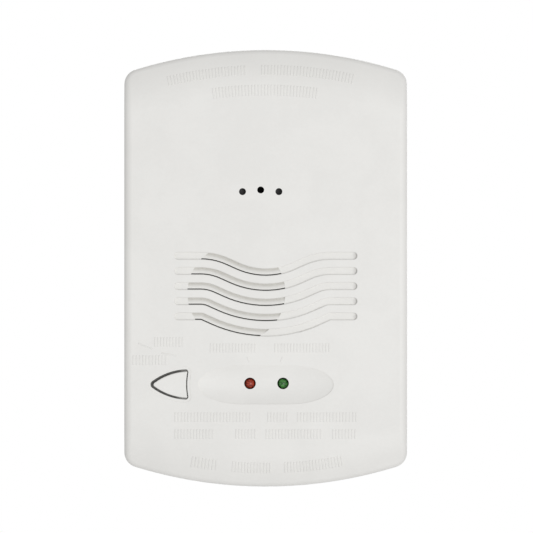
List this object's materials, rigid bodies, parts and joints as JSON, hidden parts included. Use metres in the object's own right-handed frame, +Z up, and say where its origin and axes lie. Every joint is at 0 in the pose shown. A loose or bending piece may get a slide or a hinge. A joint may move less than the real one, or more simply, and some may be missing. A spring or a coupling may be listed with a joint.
{
  "type": "carbon monoxide detector",
  "caption": "Wall-mounted carbon monoxide detector with a curved white housing, wavy sounder grille, gas holes, status lamps, test button and a tilt-off wall plate.",
  "frame": {"origin": "centre of the wall plate's back face, midway between its two electrical box screws", "axes": "+Z up along the housing, +Y into the wall, the face looks towards -Y, +X to the right as seen from the front"},
  "size_m": [0.0838, 0.033, 0.1296],
  "materials": {
    "white_housing": "fine moulded grain",
    "button_plastic": "satin",
    "plate_plastic": "moulded",
    "rear_plastic": "moulded",
    "screw_steel": "zinc plated",
    "tinned_steel": "tinned",
    "switch_plastic": "satin",
    "red_lens": "tinted epoxy",
    "green_lens": "tinted epoxy",
    "spacer_plastic": "moulded",
    "cell_steel": "drawn",
    "cell_cap_plastic": "moulded",
    "charcoal_felt": "felt",
    "soft_rubber": "foam",
    "black_plastic": "moulded",
    "brass_sheet": "rolled",
    "piezo_ceramic": "silvered",
    "terminal_plastic": "moulded",
    "board_laminate": "solder mask",
    "relay_plastic": "moulded",
    "capacitor_sleeve": "shrink sleeve",
    "bare_aluminium": "drawn",
    "ferrite": "pressed",
    "copper_wire": "enamelled",
    "chip_resin": "moulded",
    "diode_glass": "fused",
    "chip_ceramic": "fired",
    "gold_pins": "gold flash"
  },
  "bodies": {
    "wall_plate": {"mounting_plate": "plate_plastic"},
    "detector": {"rear_cover": "rear_plastic", "front_cover": "white_housing", "cover_screws": "screw_steel", "board_screws": "screw_steel", "switch_body": "switch_plastic", "switch_cover": "tinned_steel", "switch_leads": "tinned_steel", "alarm_lamp": "red_lens", "power_lamp": "green_lens", "lamp_leads": "tinned_steel", "lamp_spacers": "spacer_plastic", "co_cell_can": "cell_steel", "co_cell_cap": "cell_cap_plastic", "co_cell_filter": "charcoal_felt", "co_cell_tabs": "tinned_steel", "sensor_gasket": "soft_rubber", "sounder_housing": "black_plastic", "sounder_lid": "black_plastic", "sounder_gasket": "soft_rubber", "piezo_disc": "brass_sheet", "piezo_ceramic": "piezo_ceramic", "sounder_pins": "tinned_steel", "terminal_block": "terminal_plastic", "terminal_screws": "screw_steel", "terminal_clamps": "tinned_steel", "terminal_pins": "tinned_steel", "circuit_board": "board_laminate", "alarm_relay": "relay_plastic", "trouble_relay": "relay_plastic", "relay_pins": "tinned_steel", "capacitor_sleeves": "capacitor_sleeve", "capacitor_tops": "bare_aluminium", "coil_core": "ferrite", "coil_winding": "copper_wire", "microcontroller": "chip_resin", "microcontroller_leads": "tinned_steel", "transistors": "chip_resin", "diodes": "diode_glass", "chip_resistors": "chip_resin", "chip_capacitors": "chip_ceramic", "crystal": "cell_steel", "test_header": "black_plastic", "header_pins": "gold_pins"},
    "test_button": {"test_button": "button_plastic"},
    "switch_plunger": {"switch_plunger": "switch_plastic"}
  },
  "joints": [
    {"name": "detector_tilt", "type": "hinge", "parent": "wall_plate", "child": "detector", "pos_m": [0, -0.0055, 0.058], "axis": [-1, 0, 0], "range_deg": [0, 18]},
    {"name": "button_press", "type": "slide", "parent": "detector", "child": "test_button", "axis": [0, 1, 0], "range_m": [0, 0.0005], "stiffness_N_per_m": 800},
    {"name": "plunger_press", "type": "slide", "parent": "detector", "child": "switch_plunger", "axis": [0, 1, 0], "range_m": [0, 0.0005]}
  ],
  "couplings": [
    {"joint": "plunger_press", "follows": "button_press", "ratio": 1}
  ]
}
